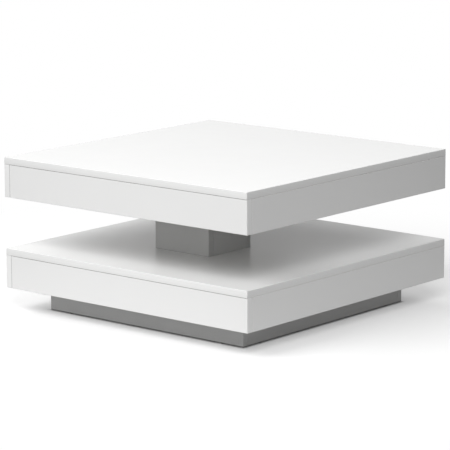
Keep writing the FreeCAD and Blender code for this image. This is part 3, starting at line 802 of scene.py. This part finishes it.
def threaded_rod(outline, angle, crest, root, pitch, length, pointed):
    """The closed side of a screw or bolt: the (radius, height) rows of its outline, then a thread
    from the outline's end down to the tip. The thread's crest is where height / pitch - angle / 2 pi
    is a whole number, and the radius falls evenly from it to the root on both sides. A pointed screw
    narrows over its last two diameters."""
    rows = np.array(outline)
    top = rows[-1, 1]
    steps = int(np.ceil((top + length) / pitch * ROWS_PER_PITCH)) + 1
    height = np.linspace(top, -length, steps)[:, None]
    phase = np.mod(height / pitch - angle / (2 * np.pi), 1)
    ridge = np.abs(2 * phase - 1) * np.clip((top - height) / pitch, 0, 1)
    taper = np.clip((height + length) / (4 * crest), 0, 1) if pointed else 1.0
    radius = (root + (crest - root) * ridge) * taper
    tip = np.zeros((1, len(angle)))
    all_radius = np.concatenate((rows[:, :1] + 0 * angle, radius, tip))
    all_height = np.concatenate((rows[:, 1:] + 0 * angle, height + 0 * radius, tip - length))
    return turned_sheet(all_radius, all_height, angle)


def screw(length, outline, head, head_height, crest, pitch, pointed):
    """A screw with a cross in its head. The outline's rows are shares of the head's radius and height,
    from the rim of the top down; from its last row the head goes in to the thread's root."""
    root = THREAD_ROOT * crest
    rows = [(out * head, -down * head_height) for out, down in outline] + [(root, -head_height)]
    side = threaded_rod(rows, RIM_ANGLES, crest, root, pitch, length, pointed)
    top = head_top(rows[0][0], -rows[0][1], CROSS_DEPTH * head_height)
    return join_sheets((top, False), (side, True))


def refine(node_name, make_piece, widest_turn, **sizes):
    """Fine copies of one piece in the places of a node's solids, each turned about its axis by chance.
    Returns their mesh, and the points of the one piece."""
    places, facings, length = fastener_frames(node_name)
    skin = make_piece(length, **sizes)
    turns = random.uniform(0, widest_turn, len(places))
    mesh = mesh_from(node_name, tiled(skin, places, facings, turns))
    stand_in(node_name, mesh)
    return mesh, skin[0]


WOOD_SCREW = {"head": 0.0035, "head_height": 0.002, "crest": 0.00175, "pitch": 0.0018, "pointed": True}
MACHINE_SCREW = {"head": 0.0045, "head_height": 0.003, "crest": 0.0024, "pitch": 0.0012, "pointed": False}
SCREWS = dict.fromkeys(("top_bracket_screws", "lower_bracket_screws", "plinth_bracket_screws",
                        "column_cleat_screws", "column_foot_screws"), (PAN_HEAD, WOOD_SCREW))
SCREWS["swivel_lower_screws"] = (PAN_HEAD, MACHINE_SCREW)
SCREWS["swivel_upper_screws"] = (FLUSH_HEAD, WOOD_SCREW)
for node_name, (outline, sizes) in SCREWS.items():
    refine(node_name, screw, np.pi / 2, outline=outline, **sizes)

# %% [markdown]
# ## Cam bolts, dowels, balls and glides
#
# These are all turned about one axis. The Spin tool could sweep their outlines; as columns of radii
# and heights they can carry a thread or flutes too. A cam bolt has a round head that its cam grips, a
# thin neck, and a thread in the panel. A dowel is fluted, so that glue and air can escape from its
# hole: its radius dips a little sixteen times round. A glide is a shallow disc on a nail.

# %% Build the turned pieces
BALL_RADIUS = 0.0025
DOWEL_RADIUS = 0.004
FLUTES = 16
FLUTE_DEPTH = 0.00025
EASING = 0.001  # how far a dowel's ends are eased
FLUTES_FROM = 0.0025  # how far from its ends its flutes begin


def all_round(steps):
    """Evenly spaced angles all the way round."""
    return np.linspace(0, 2 * np.pi, steps, endpoint=False)


def swept(radii, heights, steps):
    """A closed turned piece from the radii and heights of its outline, from the top down."""
    radius = np.asarray(radii, float)[:, None]
    height = np.asarray(heights, float)[:, None]
    return join_sheets((turned_sheet(radius, height, all_round(steps)), True))


def cam_bolt(length):
    """Head, neck, plain shank and thread, with the head's end at height 0."""
    outline = [(0, 0), (0.003, 0), (0.0035, -0.0005), (0.0035, -0.0025), (0.0031, -0.003),
               (0.0018, -0.0032), (0.0018, -0.0088), (0.0026, -0.0092), (0.0026, -0.034)]
    side = threaded_rod(outline, all_round(24), crest=0.003, root=0.0021, pitch=0.0018, length=length,
                        pointed=False)
    return join_sheets((side, True))


def dowel(length):
    """A rod with eased ends. Between them its radius is r = R - D (1 + cos(N angle)) / 2, with R the
    dowel's radius, N the number of flutes and D their depth."""
    angle = all_round(4 * FLUTES)
    end = DOWEL_RADIUS - EASING
    radius = np.array([0, end, DOWEL_RADIUS, DOWEL_RADIUS, DOWEL_RADIUS, DOWEL_RADIUS, end, 0])[:, None]
    from_end = np.array([0, 0, EASING, FLUTES_FROM])
    height = -np.concatenate((from_end, length - from_end[::-1]))[:, None]
    fluted = np.array([0, 0, 0, 1, 1, 0, 0, 0])[:, None]
    flutes = FLUTE_DEPTH * fluted * (1 + np.cos(FLUTES * angle)) / 2
    return join_sheets((turned_sheet(radius - flutes, height, angle), True))


def glide(length):
    """A disc of 7 mm radius with soft edges, on a pointed nail."""
    radii = [0, 0.0062, 0.0067, 0.007, 0.007, 0.0068, 0.0012, 0.0012, 0.0006, 0]
    heights = [0, 0, -0.0001, -0.0004, -0.0012, -0.0015, -0.0015, 0.0012 - length, 0.0003 - length, -length]
    return swept(radii, heights, 32)


def ball(radius):
    """A sphere with its centre at height 0: r = R sin(t), z = R cos(t)."""
    turn = np.linspace(0, np.pi, 17)
    return swept(radius * np.sin(turn), radius * np.cos(turn), 32)


for node_name in ("top_cam_bolts", "lower_cam_bolts"):
    refine(node_name, cam_bolt, np.pi)
refine("plinth_glides", glide, np.pi)
for node_name in ("top_dowels", "lower_dowels", "column_dowels", "plinth_dowels"):
    mesh, points = refine(node_name, dowel, np.pi)
    shifts = random.uniform(-1, 1, (len(mesh.vertices) // len(points), 1, 3))
    own_place = mesh.attributes.new("own_place", "FLOAT_VECTOR", "POINT")
    own_place.data.foreach_set("vector", (points + shifts).astype(np.float32).ravel())
centres = np.array([(points.min(axis=0) + points.max(axis=0)) / 2
                    for points in solid_points("swivel_balls")])
upward = np.tile((0.0, 0.0, 1.0), (len(centres), 1))
ball_skin = tiled(ball(BALL_RADIUS), centres, upward, np.zeros(len(centres)))
stand_in("swivel_balls", mesh_from("swivel_balls", ball_skin))

# %% [markdown]
# ## Pressed plates, brackets, cams and the ball cage
#
# Modelled anew, these would have to match every hole and pocket of the joinery. So each is copied,
# and given what it lacks: the small round that pressing, casting or moulding leaves on every edge,
# and that catches the light. Its loose triangles are joined, flat faces are cleaned of their inner
# lines, and a Bevel modifier rounds the edges. The packed mesh is never touched.

# %% Round the edges of the fittings
SAME_POINT = 1e-6  # metres
SAME_PLANE = math.radians(1)
SOFTENED = {
    "top_corner_brackets": 0.0006, "lower_corner_brackets": 0.0006, "plinth_corner_brackets": 0.0006,
    "swivel_upper_plate": 0.0003, "swivel_lower_plate": 0.0003, "swivel_cage": 0.0001,
    "top_cam_housings": 0.0002, "lower_cam_housings": 0.0002,
}


def softened(node_name, width):
    """A copy of a node whose edges are rounded by the given width."""
    joined = bmesh.new()
    joined.from_mesh(frame["nodes"][node_name].data)
    bmesh.ops.remove_doubles(joined, verts=joined.verts, dist=SAME_POINT)
    bmesh.ops.dissolve_limit(joined, angle_limit=SAME_PLANE, verts=joined.verts, edges=joined.edges)
    mesh = bpy.data.meshes.new(node_name)
    joined.to_mesh(mesh)
    joined.free()
    if "custom_normal" in mesh.attributes:
        mesh.attributes.remove(mesh.attributes["custom_normal"])
    mesh.shade_smooth()
    piece = stand_in(node_name, mesh)
    rounding = piece.modifiers.new("rounded_edges", "BEVEL")
    rounding.width = width
    rounding.segments = 2
    rounding.limit_method = "ANGLE"
    rounding.angle_limit = SHARP_ANGLE
    rounding.harden_normals = True


for node_name, width in SOFTENED.items():
    softened(node_name, width)

# %% [markdown]
# ## Finish the boards
#
# Boards need no new shape: a packed board has its holes and its eased corners already. Each gets the
# finish of its slot, in the version that knows which way the board is thin.

# %% Finish the boards
for name, node in frame["nodes"].items():
    slot_name = slot_of[name]
    finish = board_finishes.get((slot_name, thin_axis(name))) or finishes[slot_name]
    node.data.materials.clear()
    node.data.materials.append(finish)
print("boards:", sum(slot in BOARD_FILMS for slot in slot_of.values()))

# %% [markdown]
# ## The studio
#
# The floor is one large pale sheet that holds the table's shadow. Near the table it is lit like card,
# with a little light of its own for the camera and for reflections; further out it turns plain white,
# so that no horizon shows. What it throws back on the table is kept apart from what is seen: a floor
# that is pale all round would light the slabs' sides from below until they are as bright as the top,
# so only the part close by throws light back. From underneath the floor lets the camera through, so
# that the underside can be seen, and a hole under the plinth lets the room light its inside.

# %% Lay the floor
FLOOR_HALF = 14.0
FLOOR_COLOR = 0.8
FLOOR_LIFT = 0.27  # the light of its own
PLINTH_HALF = 0.281  # no light of its own under the plinth, where none could reach
LIFT_WIDTH = 0.009  # metres beside the plinth over which that light comes in, so the floor there is darker: a painted contact shadow along the foot
HOLE_HALF = 0.272
FLOOR_BOUNCE = 0.48  # how pale the floor is for the light that it throws back
BOUNCE_FROM = 0.5  # metres from the middle, where that light starts to fail
BOUNCE_BEYOND = 1.0  # and where none is left
WHITE_FROM = 0.6  # metres from the middle, where the floor starts to whiten
WHITE_BEYOND = 1.3  # and where it is plain white


def seen_directly(graph):
    """1 for what the camera sees, also in a reflection or through glass; 0 for light that the surface
    sends to its neighbours."""
    path = graph.add("ShaderNodeLightPath").outputs
    mirrored = graph.math("MAXIMUM", path["Is Glossy Ray"], path["Is Transmission Ray"])
    return graph.math("MAXIMUM", path["Is Camera Ray"], mirrored)


def floor_finish():
    """Card near the table, plain white further out, and clear from below and under the plinth. Its
    measures are the distance from the table's middle, and the larger of |x| and |y|."""
    material, graph = new_material("studio_floor")
    place = graph.here()
    distance = graph.add("ShaderNodeVectorMath", {0: place}, operation="LENGTH").outputs["Value"]
    far = graph.remap(distance, WHITE_FROM, WHITE_BEYOND, 0.0, 1.0)
    seen = seen_directly(graph)
    bounce = graph.remap(distance, BOUNCE_FROM, BOUNCE_BEYOND, FLOOR_BOUNCE, 0.0)
    level = graph.blend(seen, bounce, FLOOR_COLOR)
    card = graph.add("ShaderNodeBsdfDiffuse", {"Color": level})
    reach = graph.largest(place, (0, 1))
    lifted = graph.remap(reach, PLINTH_HALF, PLINTH_HALF + LIFT_WIDTH, 0.0, FLOOR_LIFT)
    lift = graph.add("ShaderNodeEmission", {"Strength": graph.math("MULTIPLY", seen, lifted)})
    near = graph.add("ShaderNodeAddShader", {0: card.outputs[0], 1: lift.outputs[0]})
    white = graph.add("ShaderNodeEmission", {"Strength": 1.0})
    whiten = graph.math("MULTIPLY", seen, far)
    sheet = graph.add("ShaderNodeMixShader", {0: whiten, 1: near.outputs[0], 2: white.outputs[0]})
    clear = graph.add("ShaderNodeBsdfTransparent", {"Color": WHITE})
    under = graph.add("ShaderNodeNewGeometry").outputs["Backfacing"]
    see_through = graph.math("MAXIMUM", under, graph.math("LESS_THAN", reach, HOLE_HALF))
    shown = graph.add("ShaderNodeMixShader", {0: see_through, 1: sheet.outputs[0], 2: clear.outputs[0]})
    graph.add("ShaderNodeOutputMaterial", {"Surface": shown.outputs[0]})
    material.cycles.emission_sampling = "NONE"
    return material


corners = [(x * FLOOR_HALF, y * FLOOR_HALF, 0) for x, y in ((-1, -1), (1, -1), (1, 1), (-1, 1))]
mesh = bpy.data.meshes.new("studio_floor")
mesh.from_pydata(corners, [], [(0, 1, 2, 3)])
mesh.materials.append(floor_finish())
floor = new_object("studio_floor", mesh)
print("floor:", 2 * FLOOR_HALF, "m square")

# %% [markdown]
# ## The light
#
# Five large soft lamps stand round the table. The two strongest are at the front left and at the
# right corner, so that the front is bright, the right side is in soft shade and the top is
# brightest of all; the one at the left lights the shelf's left edge below the upper slab. They could
# be bare suns, but lamps a few metres away make each face a little brighter towards one end, as in a
# real studio. The lamps don't show in reflections: the gloss mirrors the white room instead.

# %% Light the table
LAMP_AIM = Vector((0.0, 0.0, 0.2))
LAMP_DISTANCE = 4.2
LAMP_SIZE = 2.1
LAMPS = {  # turn and rise in degrees, as for the camera, and watts
    "front_left_softbox": (-18, 43, 82.0),
    "front_low_softbox": (0, 15, 16.0),
    "left_softbox": (-90, 36, 31.0),
    "corner_softbox": (45, 37, 87.0),
    "back_left_softbox": (-135, 40, 26.0),
}
WORLD_LIGHT = 0.26  # how strongly the room lights the table


def add_lamp(name, turn, rise, watts):
    """A square lamp that faces the aim: its place is aim + distance x direction."""
    offset = towards(math.radians(turn), math.radians(rise))
    data = bpy.data.lights.new(name, "AREA")
    data.shape = "SQUARE"
    data.size = LAMP_SIZE
    data.energy = watts
    lamp = new_object(name, data)
    lamp.location = LAMP_AIM + offset * LAMP_DISTANCE
    lamp.rotation_mode = "QUATERNION"
    lamp.rotation_quaternion = (-offset).to_track_quat("-Z", "Y")
    lamp.visible_glossy = False


def light_world():
    """A pale room: it lights the table at one strength, and is seen as white."""
    world = bpy.data.worlds.new("studio_world")
    graph = emptied(world)
    strength = graph.math("MULTIPLY_ADD", seen_directly(graph), 1.0 - WORLD_LIGHT, WORLD_LIGHT)
    glow = graph.add("ShaderNodeBackground", {"Color": WHITE, "Strength": strength})
    graph.add("ShaderNodeOutputWorld", {"Surface": glow.outputs[0]})
    bpy.context.scene.world = world


for lamp_name, values in LAMPS.items():
    add_lamp(lamp_name, *values)
light_world()
print("lamps:", len(LAMPS))

# %% [markdown]
# ## The view transform
#
# The view transform is left plain, so a colour comes out as it is written.

# %% Finish
bpy.context.scene.view_settings.view_transform = "Standard"
